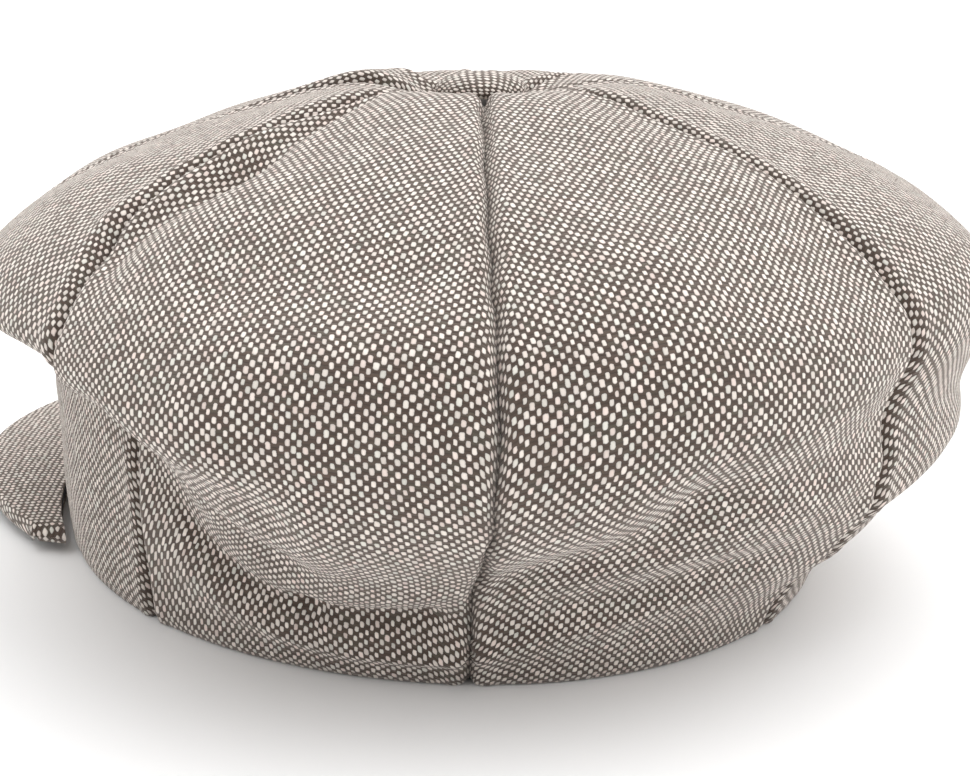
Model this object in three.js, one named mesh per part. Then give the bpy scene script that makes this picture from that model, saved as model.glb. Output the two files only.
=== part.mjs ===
// Eight-panel newsboy cap, in millimetres, +Z up, brim towards -Y.
// Every sewn piece is a thin closed solid; neighbours keep a small sewing gap.
import * as THREE from 'three';
import * as BufferGeometryUtils from 'three/addons/utils/BufferGeometryUtils.js';

// ---------------------------------------------------------------- driving dimensions
const PANELS = 8;
const CROWN_RADIUS = 117;        // widest part of the crown, seam line to button axis
const CROWN_FRONT_EXTRA = 2;     // the crown is pulled forward over the brim
const REAR_SLOUCH = 22;          // how far the back of the crown hangs down over the band
const SLOUCH_BELOW = 76;         // height under which the tweed slouches
const RIM_HALF_WIDTH = 89;       // outside of the head opening, left to right
const RIM_HALF_LENGTH = 101;     // outside of the head opening, front to back
const RIM_CENTRE_Y = -15;        // the head opening sits forward of the button
const CLOTH = 1.6;               // tweed with its fused interlining
const HEM = 2.7;                 // tweed turned in and doubled at the rim
const HEM_HEIGHT = 6;
const SEWING_GAP = 0.4;
const MID_PUFF_TOP = 3.2;        // how far a panel stands proud between its seams
const MID_PUFF_SIDE = 3.0;
const MID_PUFF_BAND = 0.6;

const LINING_DEPTH = 3.3;        // outside of the lining below the outside of the tweed
const LINING_CLOTH = 0.6;
const LINING_END_Z = 36.5;

const TAPE_DEPTH = 2.1;          // stiffening tape, measured in from the rim's outside
const TAPE_THICK = 0.8;
const TAPE_BOTTOM = 12;
const TAPE_TOP = 33;
const SWEATBAND_DEPTH = 3.4;
const SWEATBAND_THICK = 1.1;
const SWEATBAND_BOTTOM = 1.2;
const SWEATBAND_TOP = 34.5;
const LABEL_WIDTH = 22;
const LABEL_HEIGHT = 14;
const LABEL_THICK = 0.5;

const BUTTON_RADIUS = 11.2;
const BUTTON_HEIGHT = 5.6;
const BUTTON_EDGE = 1;            // height of the straight edge under its dome
const BUTTON_BASE_Z = 107.9;
const BUTTON_CLOTH = 1.2;
const SHANK_RADIUS = 1.3;
const WASHER_RADIUS = 8;
const WASHER_THICK = 0.6;

const BRIM_HALF_ANGLE = THREE.MathUtils.degToRad(62);
const BRIM_FAN = 0.5;            // how far the brim's sides spread as it leaves the rim
const BRIM_LENGTH = 39;
const BRIM_CORNER = 8;           // what is left of its length at the two corners
const BRIM_ROOT_GAP = 2.4;
const BRIM_SIDE_Z = 4.2;
const BRIM_ARCH = 4;              // rise of its middle over its sides, at the root
const BRIM_DROOP = 0.8;           // share of the arch that is lost by the tip
const BRIM_CLOTH = 1.1;
const BRIM_BOARD = 1.6;
const BRIM_FOLD = 1.5;           // the upper cloth folded round the board's edge

const PANEL_COLUMNS = 8;         // facets across a panel
const PANEL_ROWS = 20;
const LINING_COLUMNS = 4;
const LINING_ROWS = 12;
const RING_STEPS = PANELS * PANEL_COLUMNS;
const BRIM_STEPS = 20;
const BRIM_ROWS = 5;
const LATHE_STEPS = 20;
const DOME_STEPS = 6;             // facets from a dome's top to its edge
const LABEL_COLUMNS = 6;

// Meridian of a seam, from the button to the hem:
// share of the crown's radius, share of the way in to the rim, and height.
const MERIDIAN = new THREE.CatmullRomCurve3([
  new THREE.Vector3(0.03, 0.00, 106.4),
  new THREE.Vector3(0.10, 0.00, 106.8),
  new THREE.Vector3(0.18, 0.00, 109.6),
  new THREE.Vector3(0.30, 0.00, 110.0),
  new THREE.Vector3(0.48, 0.00, 105.0),
  new THREE.Vector3(0.67, 0.00, 97.5),
  new THREE.Vector3(0.84, 0.00, 88.0),
  new THREE.Vector3(0.96, 0.00, 76.0),
  new THREE.Vector3(1.00, 0.00, 64.0),
  new THREE.Vector3(1.00, 0.20, 53.0),
  new THREE.Vector3(1.00, 0.62, 44.5),
  new THREE.Vector3(1.00, 0.97, 37.5),
  new THREE.Vector3(1.00, 0.97, 26.0),
  new THREE.Vector3(1.00, 0.96, 13.0),
  new THREE.Vector3(1.00, 1.00, 0.0),
], false, 'catmullrom', 0.5);

// ---------------------------------------------------------------- materials
const finish = (color, roughness, metalness = 0) => (
  new THREE.MeshStandardMaterial({ color, roughness, metalness })
);
const tweed = () => finish(0x9c8f85, 0.95);
const satin = () => finish(0x2a2624, 0.45);
const steel = () => finish(0xb9bbbd, 0.35, 1);

// ---------------------------------------------------------------- the crown's surface
const smooth = (from, to, x) => THREE.MathUtils.smoothstep(x, from, to);

function crownRadius(angle) {
  const forward = Math.max(0, -Math.sin(angle));
  return CROWN_RADIUS + CROWN_FRONT_EXTRA * forward * forward;
}

// The loose back of the crown settles over the band, and its front and sides stand up.
function slouch(angle, z) {
  const rear = smooth(-0.15, 0.75, Math.sin(angle));
  const height = THREE.MathUtils.clamp(z / SLOUCH_BELOW, 0, 1);
  return rear * REAR_SLOUCH * Math.sin(Math.PI * height) ** 1.5;
}

// Point of the crown at an angle round it, t from button to hem, slouched by a share.
function crownPoint(angle, t, slouched) {
  const { x: share, y: tuck, z } = MERIDIAN.getPoint(t);
  const radius = crownRadius(angle);
  const across = Math.abs(Math.sin(angle * PANELS / 2));
  const top = smooth(0.10, 0.30, share) * (1 - smooth(0.75, 1.0, share));
  const side = smooth(0.5, 1.0, share) * (1 - smooth(0.4, 0.9, tuck));
  const band = smooth(0.8, 0.97, tuck) * smooth(0, 10, z);
  const out = share * radius + across * (MID_PUFF_SIDE * side + MID_PUFF_BAND * band);
  const rim = new THREE.Vector2(
    RIM_HALF_WIDTH * Math.cos(angle),
    RIM_CENTRE_Y + RIM_HALF_LENGTH * Math.sin(angle),
  );
  return new THREE.Vector3(
    THREE.MathUtils.lerp(out * Math.cos(angle), rim.x, tuck),
    THREE.MathUtils.lerp(out * Math.sin(angle), rim.y, tuck),
    z + across * MID_PUFF_TOP * top - slouched * slouch(angle, z),
  );
}

// The same point moved into the cap by a depth, square to the meridian.
function crownPointInside(angle, t, slouched, depth) {
  const step = 0.004;
  const before = crownPoint(angle, Math.max(0, t - step), slouched);
  const after = crownPoint(angle, Math.min(1, t + step), slouched);
  const outward = new THREE.Vector3(Math.cos(angle), Math.sin(angle), 0);
  const run = after.clone().sub(before);
  const alongOut = run.dot(outward);
  const length = Math.hypot(alongOut, run.z);
  const inward = outward.multiplyScalar(run.z / length);
  inward.z = -alongOut / length;
  return crownPoint(angle, t, slouched).addScaledVector(inward, depth);
}

// ---------------------------------------------------------------- closed solids
function closedGeometry(points, triangles) {
  const geometry = new THREE.BufferGeometry();
  const flat = points.flatMap((p) => [p.x, p.y, p.z]);
  geometry.setAttribute('position', new THREE.Float32BufferAttribute(flat, 3));
  let volume = 0;
  for (const [a, b, c] of triangles) {
    volume += points[a].dot(points[b].clone().cross(points[c]));
  }
  const facing = volume < 0 ? triangles.map(([a, b, c]) => [a, c, b]) : triangles;
  geometry.setIndex(facing.flat());
  geometry.computeVertexNormals();
  return geometry;
}

// A thin sheet with a front and a back, given as functions of column and row.
function sheetGeometry(columns, rows, front, back) {
  const points = [];
  for (const side of [front, back]) {
    for (let row = 0; row <= rows; row += 1) {
      for (let column = 0; column <= columns; column += 1) {
        points.push(side(column / columns, row / rows));
      }
    }
  }
  const layer = (columns + 1) * (rows + 1);
  const at = (column, row, side) => side * layer + row * (columns + 1) + column;
  const triangles = [];
  const quad = (a, b, c, d) => triangles.push([a, b, c], [a, c, d]);
  for (let row = 0; row < rows; row += 1) {
    for (let column = 0; column < columns; column += 1) {
      quad(at(column, row, 0), at(column + 1, row, 0),
        at(column + 1, row + 1, 0), at(column, row + 1, 0));
      quad(at(column, row, 1), at(column, row + 1, 1),
        at(column + 1, row + 1, 1), at(column + 1, row, 1));
    }
    quad(at(0, row, 0), at(0, row + 1, 0), at(0, row + 1, 1), at(0, row, 1));
    quad(at(columns, row + 1, 0), at(columns, row, 0),
      at(columns, row, 1), at(columns, row + 1, 1));
  }
  for (let column = 0; column < columns; column += 1) {
    quad(at(column + 1, 0, 0), at(column, 0, 0), at(column, 0, 1), at(column + 1, 0, 1));
    quad(at(column, rows, 0), at(column + 1, rows, 0),
      at(column + 1, rows, 1), at(column, rows, 1));
  }
  return closedGeometry(points, triangles);
}

// A closed section carried round a ring of stations.
function ringGeometry(section, stations, place) {
  const size = section.length;
  const points = [];
  const triangles = [];
  for (let station = 0; station < stations; station += 1) {
    const here = station * size;
    const next = ((station + 1) % stations) * size;
    section.forEach((corner, k) => {
      const k2 = (k + 1) % size;
      points.push(place(station, corner));
      triangles.push([here + k, next + k, next + k2], [here + k, next + k2, here + k2]);
    });
  }
  return closedGeometry(points, triangles);
}

function latheGeometry(outline) {
  const lathe = new THREE.LatheGeometry(outline, LATHE_STEPS);
  lathe.deleteAttribute('normal');
  lathe.deleteAttribute('uv');
  const merged = BufferGeometryUtils.mergeVertices(lathe);
  const corners = [];
  const index = merged.getIndex();
  for (let i = 0; i < index.count; i += 3) {
    const corner = [index.getX(i), index.getX(i + 1), index.getX(i + 2)];
    if (new Set(corner).size === 3) corners.push(corner);
  }
  const place = merged.getAttribute('position');
  const points = [];
  for (let i = 0; i < place.count; i += 1) {
    points.push(new THREE.Vector3(place.getX(i), -place.getZ(i), place.getY(i)));
  }
  return closedGeometry(points, corners);
}

// ---------------------------------------------------------------- sewn gores
// Shifts a point sideways, round the crown, so that two gores never share an edge.
function setBack(point, angle, column) {
  const shift = (0.5 - column) * SEWING_GAP;
  return point.add(new THREE.Vector3(-Math.sin(angle), Math.cos(angle), 0).multiplyScalar(shift));
}

function panelGeometry(index) {
  const angleAt = (column) => (index + column) * 2 * Math.PI / PANELS;
  const front = (column, row) => (
    setBack(crownPoint(angleAt(column), row, 1), angleAt(column), column)
  );
  const back = (column, row) => {
    const angle = angleAt(column);
    const above = crownPoint(angle, row, 1).z;
    const turned = row > 0.5 ? 1 - smooth(HEM_HEIGHT, HEM_HEIGHT * 2, above) : 0;
    const depth = THREE.MathUtils.lerp(CLOTH, HEM, turned);
    const point = crownPointInside(angle, row, 1, depth);
    if (row === 1) point.z = 0;
    return setBack(point, angle, column);
  };
  return sheetGeometry(PANEL_COLUMNS, PANEL_ROWS, front, back);
}

// Share of the meridian at which the lining stops, just above the sweatband.
function liningEnd() {
  let t = 1;
  while (MERIDIAN.getPoint(t).z < LINING_END_Z) t -= 0.005;
  return t;
}

// The lining is cut closer than the tweed, so it doesn't slouch with it.
function liningGeometry(index, end) {
  const angleAt = (column) => (index + column) * 2 * Math.PI / PANELS;
  const layer = (depth) => (column, row) => {
    const angle = angleAt(column);
    return setBack(crownPointInside(angle, row * end, 0, depth), angle, column);
  };
  return sheetGeometry(
    LINING_COLUMNS, LINING_ROWS, layer(LINING_DEPTH), layer(LINING_DEPTH + LINING_CLOTH),
  );
}

// ---------------------------------------------------------------- rim pieces
function rimPoint(angle, depth, z) {
  return new THREE.Vector3(
    (RIM_HALF_WIDTH - depth) * Math.cos(angle),
    RIM_CENTRE_Y + (RIM_HALF_LENGTH - depth) * Math.sin(angle),
    z,
  );
}

function rimRingGeometry(depth, thickness, bottom, top) {
  const section = [
    new THREE.Vector2(depth, bottom),
    new THREE.Vector2(depth + thickness, bottom),
    new THREE.Vector2(depth + thickness, top),
    new THREE.Vector2(depth, top),
  ];
  const place = (station, corner) => (
    rimPoint(station * 2 * Math.PI / RING_STEPS, corner.x, corner.y)
  );
  return ringGeometry(section, RING_STEPS, place);
}

function labelGeometry() {
  const outside = SWEATBAND_DEPTH + SWEATBAND_THICK + SEWING_GAP;
  const half = LABEL_WIDTH / 2 / RIM_HALF_WIDTH;
  const middle = (SWEATBAND_BOTTOM + SWEATBAND_TOP) / 2;
  const layer = (depth) => (column, row) => rimPoint(
    Math.PI / 2 + (column * 2 - 1) * half,
    depth,
    middle + (row - 0.5) * LABEL_HEIGHT,
  );
  return sheetGeometry(LABEL_COLUMNS, 1, layer(outside), layer(outside + LABEL_THICK));
}

// ---------------------------------------------------------------- top button
function buttonCoverOutline() {
  const inner = BUTTON_RADIUS - BUTTON_CLOTH;
  const outline = [new THREE.Vector2(0, BUTTON_HEIGHT)];
  for (let k = 1; k <= DOME_STEPS; k += 1) {
    const a = k * Math.PI / 2 / DOME_STEPS;
    outline.push(new THREE.Vector2(
      BUTTON_RADIUS * Math.sin(a), BUTTON_EDGE + (BUTTON_HEIGHT - BUTTON_EDGE) * Math.cos(a),
    ));
  }
  outline.push(new THREE.Vector2(BUTTON_RADIUS - 0.5, 0));
  outline.push(new THREE.Vector2(inner, 0));
  for (let k = DOME_STEPS; k >= 1; k -= 1) {
    const a = k * Math.PI / 2 / DOME_STEPS;
    outline.push(new THREE.Vector2(
      inner * Math.sin(a),
      BUTTON_EDGE + (BUTTON_HEIGHT - BUTTON_EDGE - BUTTON_CLOTH) * Math.cos(a),
    ));
  }
  outline.push(new THREE.Vector2(0, BUTTON_HEIGHT - BUTTON_CLOTH));
  return outline;
}

function buttonShellOutline() {
  const radius = BUTTON_RADIUS - BUTTON_CLOTH - SEWING_GAP;
  const height = BUTTON_HEIGHT - BUTTON_CLOTH - SEWING_GAP;
  const outline = [new THREE.Vector2(0, height)];
  for (let k = 1; k <= DOME_STEPS; k += 1) {
    const a = k * Math.PI / 2 / DOME_STEPS;
    outline.push(new THREE.Vector2(
      radius * Math.sin(a), BUTTON_EDGE + (height - BUTTON_EDGE) * Math.cos(a),
    ));
  }
  outline.push(new THREE.Vector2(radius, 0));
  outline.push(new THREE.Vector2(0, 0));
  return outline;
}

// A split rivet: a shank through the meeting point of the gores and its clinched washer.
function buttonRivetOutline() {
  const shankTop = BUTTON_BASE_Z - SEWING_GAP;
  const underside = MERIDIAN.getPoint(0).z - CLOTH - SEWING_GAP;
  return [
    new THREE.Vector2(0, shankTop),
    new THREE.Vector2(SHANK_RADIUS, shankTop),
    new THREE.Vector2(SHANK_RADIUS, underside),
    new THREE.Vector2(WASHER_RADIUS, underside),
    new THREE.Vector2(WASHER_RADIUS, underside - WASHER_THICK),
    new THREE.Vector2(0, underside - WASHER_THICK),
  ];
}

// ---------------------------------------------------------------- brim
// s runs from one corner of the brim to the other, out is the distance from its root.
function brimPoint(s, out, lift) {
  const turn = BRIM_HALF_ANGLE * s;
  const spread = turn * BRIM_FAN;
  const arch = BRIM_ARCH * (1 - s * s) * (1 - BRIM_DROOP * out / BRIM_LENGTH);
  return new THREE.Vector3(
    (RIM_HALF_WIDTH + BRIM_ROOT_GAP) * Math.sin(turn) + out * Math.sin(spread),
    RIM_CENTRE_Y - (RIM_HALF_LENGTH + BRIM_ROOT_GAP) * Math.cos(turn) - out * Math.cos(spread),
    BRIM_SIDE_Z + arch + lift,
  );
}

function brimLengthAt(s) {
  return BRIM_CORNER + (BRIM_LENGTH - BRIM_CORNER) * (1 - Math.abs(s) ** 2.6);
}

// A layer of the brim between two paths, each a list of stops from root to edge:
// share of the brim's length, extra length and lift.
function brimGeometry(frontPath, backPath) {
  const layer = (path) => (column, row) => {
    const s = column * 2 - 1;
    const [share, extra, lift] = path[Math.round(row * (path.length - 1))];
    return brimPoint(s, share * brimLengthAt(s) + extra, lift);
  };
  return sheetGeometry(BRIM_STEPS, frontPath.length - 1, layer(frontPath), layer(backPath));
}

function brimPath(extra, lift) {
  const path = [];
  for (let k = 0; k <= BRIM_ROWS; k += 1) {
    path.push([k / BRIM_ROWS, k / BRIM_ROWS * extra, lift]);
  }
  return path;
}

// The upper cloth is folded down round the board and meets the under cloth at its edge.
function brimPieces() {
  const board = BRIM_BOARD / 2;
  const inner = board + SEWING_GAP;
  const outer = inner + BRIM_CLOTH;
  const edge = BRIM_FOLD * 0.6;
  const lip = -inner + SEWING_GAP;
  return {
    brim_upper_cloth: brimGeometry(
      [...brimPath(edge, outer), [1, BRIM_FOLD, outer - 0.5], [1, BRIM_FOLD, lip]],
      [...brimPath(SEWING_GAP, inner), [1, SEWING_GAP, inner / 2], [1, SEWING_GAP, lip]],
    ),
    brim_board: brimGeometry(brimPath(0, board), brimPath(0, -board)),
    brim_under_cloth: brimGeometry(brimPath(edge, -inner), brimPath(edge, -outer)),
  };
}

// ---------------------------------------------------------------- assembly
const PANEL_NAMES = [
  'left_rear', 'back_left', 'back_right', 'right_rear',
  'right_fore', 'front_right', 'front_left', 'left_fore',
];

const group = new THREE.Group();

function addPiece(name, geometry, material, z = 0) {
  const mesh = new THREE.Mesh(geometry, material);
  mesh.name = name;
  mesh.position.z = z;
  group.add(mesh);
}

const lastLiningShare = liningEnd();
PANEL_NAMES.forEach((name, index) => {
  addPiece(`crown_panel_${name}`, panelGeometry(index), tweed());
  addPiece(`lining_gore_${name}`, liningGeometry(index, lastLiningShare), satin());
});

addPiece('stiffening_tape',
  rimRingGeometry(TAPE_DEPTH, TAPE_THICK, TAPE_BOTTOM, TAPE_TOP), finish(0xe8e4da, 0.9));
addPiece('sweatband',
  rimRingGeometry(SWEATBAND_DEPTH, SWEATBAND_THICK, SWEATBAND_BOTTOM, SWEATBAND_TOP), satin());
addPiece('size_label', labelGeometry(), finish(0xded9d0, 0.6));

addPiece('button_cloth', latheGeometry(buttonCoverOutline()), tweed(), BUTTON_BASE_Z);
addPiece('button_shell', latheGeometry(buttonShellOutline()), steel(), BUTTON_BASE_Z);
addPiece('button_rivet', latheGeometry(buttonRivetOutline()), steel());

const brimMaterials = {
  brim_upper_cloth: tweed(),
  brim_board: finish(0x3a3a3c, 0.7),
  brim_under_cloth: tweed(),
};
for (const [name, geometry] of Object.entries(brimPieces())) {
  addPiece(name, geometry, brimMaterials[name]);
}

// The origin is under the middle of the cap, on the surface that it stands on.
const box = new THREE.Box3().setFromObject(group);
const middle = box.getCenter(new THREE.Vector3());
group.position.set(-middle.x, -middle.y, -box.min.z);

export default group;
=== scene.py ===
"""Newsboy cap in tweed: the looks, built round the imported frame.

Lengths in the shape functions are millimetres from the axis of the top button; MM turns them
into the frame's metres. Angles go round the cap from the wearer's left (+X) to the back (+Y).
"""
import math

import bmesh
import bpy
import numpy as np
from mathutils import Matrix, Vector


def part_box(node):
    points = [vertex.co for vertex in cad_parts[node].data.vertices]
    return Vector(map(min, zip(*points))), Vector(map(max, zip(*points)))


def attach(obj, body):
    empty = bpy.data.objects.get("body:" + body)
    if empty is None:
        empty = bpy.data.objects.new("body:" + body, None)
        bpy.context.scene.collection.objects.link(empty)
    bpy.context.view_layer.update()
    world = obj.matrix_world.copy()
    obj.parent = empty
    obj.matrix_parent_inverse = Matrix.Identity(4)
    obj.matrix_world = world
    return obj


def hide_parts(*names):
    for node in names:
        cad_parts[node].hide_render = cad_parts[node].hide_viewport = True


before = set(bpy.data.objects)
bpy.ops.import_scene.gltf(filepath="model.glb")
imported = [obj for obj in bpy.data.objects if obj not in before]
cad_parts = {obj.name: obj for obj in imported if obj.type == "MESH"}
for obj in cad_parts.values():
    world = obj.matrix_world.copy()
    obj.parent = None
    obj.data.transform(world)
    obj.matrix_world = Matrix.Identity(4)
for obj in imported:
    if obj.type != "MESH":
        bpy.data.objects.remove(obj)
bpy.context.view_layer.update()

# ------------------------------------------------------------------ sizes from the frame
MM = 0.001
PANELS = 8
SEAM_STEP = 2 * math.pi / PANELS
PANEL_NAMES = (
    "left_rear", "back_left", "back_right", "right_rear",
    "right_fore", "front_right", "front_left", "left_fore",
)
SWEATBAND_DEPTH = 3.4            # from the outside of the rim in to the sweatband

button_low, button_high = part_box("button_cloth")
band_low, band_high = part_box("sweatband")
AXIS_Y = (button_low.y + button_high.y) / 2 / MM
RIM_HALF_WIDTH = (band_high.x - band_low.x) / 2 / MM + SWEATBAND_DEPTH
RIM_HALF_LENGTH = (band_high.y - band_low.y) / 2 / MM + SWEATBAND_DEPTH
RIM_CENTRE_Y = (band_high.y + band_low.y) / 2 / MM - AXIS_Y
CROWN_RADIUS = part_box("crown_panel_back_left")[1].y / MM - AXIS_Y
BUTTON_RADIUS = (button_high.x - button_low.x) / 2 / MM
BUTTON_BASE_Z = button_low.z / MM
BUTTON_HEIGHT = (button_high.z - button_low.z) / MM
BAND_BOTTOM = band_low.z / MM
BAND_TOP = band_high.z / MM

CLOTH = 1.6                      # thickness of the tweed
HEM = 2.7                        # and of the hem, where it is turned in
HEM_HEIGHT = 6
HEM_ROLL = 0.8                   # how far the hem's fold rolls inwards
CROWN_FRONT_EXTRA = 2
SLOUCH_BELOW = 76                # the cloth hangs loose below this height
MID_PUFF_TOP = 1.0               # a panel stands this much proud of its seams, at the top,
MID_PUFF_SIDE = 4.0              # at the side
MID_PUFF_BAND = 0.6              # and on the band
LINING_DEPTH = 3.3               # from the outside of the tweed in to the lining
LINING_CLOTH = 0.6
LINING_FOLLOWS = 0.35            # share of the tweed's loose hang that the lining follows
LINING_SLACK = 1.2
LINING_END_Z = 36.5
LINING_REACH = 0.0060            # share of the meridian more for each mm the cloth stands up

# Meridian of a seam from the button to the hem: share of the crown's radius,
# share of the way in to the rim, and height.
MERIDIAN = np.array([
    (0.03, 0.00, 106.4), (0.10, 0.00, 106.8), (0.18, 0.00, 109.6),
    (0.30, 0.00, 110.0), (0.48, 0.00, 105.0), (0.67, 0.00, 97.5),
    (0.84, 0.00, 88.0), (0.96, 0.00, 76.0), (1.00, 0.00, 64.0),
    (1.00, 0.20, 53.0), (1.00, 0.62, 44.5), (1.00, 0.97, 37.5),
    (1.00, 0.97, 26.0), (1.00, 0.96, 13.0), (1.00, 1.00, 0.0),
])

# Round the cap, in degrees from the wearer's left: how far the tweed has settled over
# the band, how far its side, its underside and the loose cloth on the band stand out, and
# how far the soft rim is pressed in.
SETTLED = (
    (-180, 0), (-135, -6), (-90, -10), (-47, -13), (0, -13), (14, 12), (22, 21),
    (42, 21), (67, 12), (95, 7), (133, 8), (160, 4),
)
SIDE_OUT = (
    (-180, 0), (-80, -5), (-40, -10), (-20, -9), (-5, -4), (8, 0), (70, 0), (95, -7.5),
    (140, -8),
)
UNDERSIDE_OUT = (
    (-180, 0), (-20, 0), (0, -4), (12, -6), (42, -5), (60, -2), (85, 0), (112, 2),
    (145, 2),
)
BAND_OUT = (
    (-180, 0), (-10, 0), (15, 2), (42, 3), (62, 9), (90, 19), (133, 21), (160, 9),
)
RIM_PRESSED = ((-180, 0), (60, 0), (95, 2), (125, 5), (150, 3))
TOP_LEAN = 1                     # the front left of the top lies this much lower
LEAN_TOWARDS = -46
SEAM_SLIP = math.radians(6)      # the left seam's slip towards the front
SEAM_SLIP_REACH = 28             # degrees either side of it that slip too

# The belts in which that cloth stands out: middle and half width, as shares of the
# meridian.
SIDE_BELT = (0.61, 0.08)
UNDERSIDE_BELT = (0.68, 0.06)
BAND_BELT = (0.78, 0.11)

# Weave of the tweed: distance between neighbouring yarns, how far they wander, and half
# the width and length of a warp float with how much they vary, all but the first two as
# shares of the pitch.
WARP_PITCH = 1.08 * MM
WEFT_PITCH = 1.12 * MM
YARN_WANDER = 0.9
FLOAT_HALF_WIDTH = (0.33, 0.12)
FLOAT_HALF_LENGTH = (0.45, 0.17)
FLOAT_SHIFT = (0.16, 0.20)


# ------------------------------------------------------------------ curves and noise
def smooth(low, high, x):
    s = np.clip((x - low) / (high - low), 0, 1)
    return s * s * (3 - 2 * s)


def through(points, t):
    """Catmull-Rom curve through the points, t from 0 to 1."""
    ends = np.array([2 * points[0] - points[1], *points, 2 * points[-1] - points[-2]])
    spans = len(points) - 1
    place = np.clip(np.asarray(t, float), 0, 1) * spans
    k = np.minimum(place.astype(int), spans - 1)
    f = (place - k)[..., None]
    a, b, c, d = ends[k], ends[k + 1], ends[k + 2], ends[k + 3]
    return 0.5 * (
        2 * b + (c - a) * f + (2 * a - 5 * b + 4 * c - d) * f ** 2
        + (3 * b - a - 3 * c + d) * f ** 3
    )


def bell(x):
    return np.exp(-x * x)


def turn_between(angle, middle):
    """Signed angle from middle to angle, in degrees."""
    degrees = np.degrees(angle) - middle
    return (degrees + 180) % 360 - 180


def round_cap(table, angle, blur=8.0):
    """A value that changes smoothly round the cap, from (degrees, value) pairs."""
    degrees, values = np.array(table, float).T
    at = np.degrees(angle)
    shifts = (-blur, -blur / 2, 0, blur / 2, blur)
    return sum(np.interp(at + shift, degrees, values, period=360) for shift in shifts) / 5


def ripples(angle, t, seed, count=9, waves=5.0):
    """A gentle unevenness made of a few sine waves, about -1 to 1, closed round the cap."""
    rng = np.random.default_rng(seed)
    total = np.zeros(np.broadcast(angle, t).shape)
    for _ in range(count):
        around = rng.integers(2, 12)
        along = rng.uniform(-waves, waves) * 2
        phase = rng.uniform(0, 2 * math.pi)
        total = total + np.sin(around * angle + along * 2 * math.pi * t + phase)
    return total / count ** 0.5 / 1.5


# ------------------------------------------------------------------ the crown's surface
def settled(angle, z):
    """How far the loose cloth has sunk over the band; below zero it stands up."""
    height = np.clip(z / SLOUCH_BELOW, 0, 1)
    return round_cap(SETTLED, angle) * np.sin(np.pi * height) ** 1.5


def rim_point(angle, depth, z):
    """A point at a depth in from the outside of the rim."""
    angle, depth, z = np.broadcast_arrays(angle, depth, z)
    inwards = depth + round_cap(RIM_PRESSED, angle)
    return np.stack([
        (RIM_HALF_WIDTH - inwards) * np.cos(angle),
        RIM_CENTRE_Y + (RIM_HALF_LENGTH - inwards) * np.sin(angle),
        z,
    ], -1)


def drifted(angle, t):
    """The left seam and the cloth beside it have slipped a little towards the front."""
    slip = bell(turn_between(angle, 0) / SEAM_SLIP_REACH)
    slip = slip * smooth(0.1, 0.28, t) * (1 - smooth(0.36, 0.52, t))
    return angle - SEAM_SLIP * slip


def standing_out(table, belt, angle, t):
    """How far the cloth stands out, in a belt round the cap."""
    middle, half_width = belt
    return round_cap(table, angle) * bell((t - middle) / half_width)


def crown_base(angle, t, slouched=1.0):
    """The crown without its folds: point at an angle round it, t from button to hem.

    slouched is the share of the tweed's sinking and standing out that it follows.
    """
    angle, t = np.broadcast_arrays(np.asarray(angle, float), np.asarray(t, float))
    angle = drifted(angle, t)
    share, tuck, z = np.moveaxis(through(MERIDIAN, t), -1, 0)
    forward = np.maximum(0, -np.sin(angle))
    radius = CROWN_RADIUS + CROWN_FRONT_EXTRA * forward ** 2
    across = np.abs(np.sin(angle * PANELS / 2))
    top = smooth(0.10, 0.30, share) * (1 - smooth(0.75, 1.0, share))
    side = smooth(0.5, 1.0, share) * (1 - smooth(0.4, 0.9, tuck))
    band = smooth(0.8, 0.97, tuck) * smooth(0, 10, z)
    loose = standing_out(SIDE_OUT, SIDE_BELT, angle, t)
    loose = loose + standing_out(UNDERSIDE_OUT, UNDERSIDE_BELT, angle, t)
    loose = loose + standing_out(BAND_OUT, BAND_BELT, angle, t)
    loose = np.where(loose > 0, slouched, 1) * loose
    out = share * radius + across * (MID_PUFF_SIDE * side + MID_PUFF_BAND * band)
    rim = rim_point(angle, 0.0, 0.0)
    x = out * np.cos(angle) * (1 - tuck) + rim[..., 0] * tuck + loose * np.cos(angle)
    y = out * np.sin(angle) * (1 - tuck) + rim[..., 1] * tuck + loose * np.sin(angle)
    lean = math.radians(LEAN_TOWARDS)
    leaning = smooth(0, 65, x * math.cos(lean) + y * math.sin(lean)) * smooth(50, 85, z)
    sunk = settled(angle, z)
    sunk = np.where(sunk > 0, slouched, 1) * sunk + TOP_LEAN * leaning
    return np.stack([x, y, z + across * MID_PUFF_TOP * top - sunk], -1)


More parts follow.
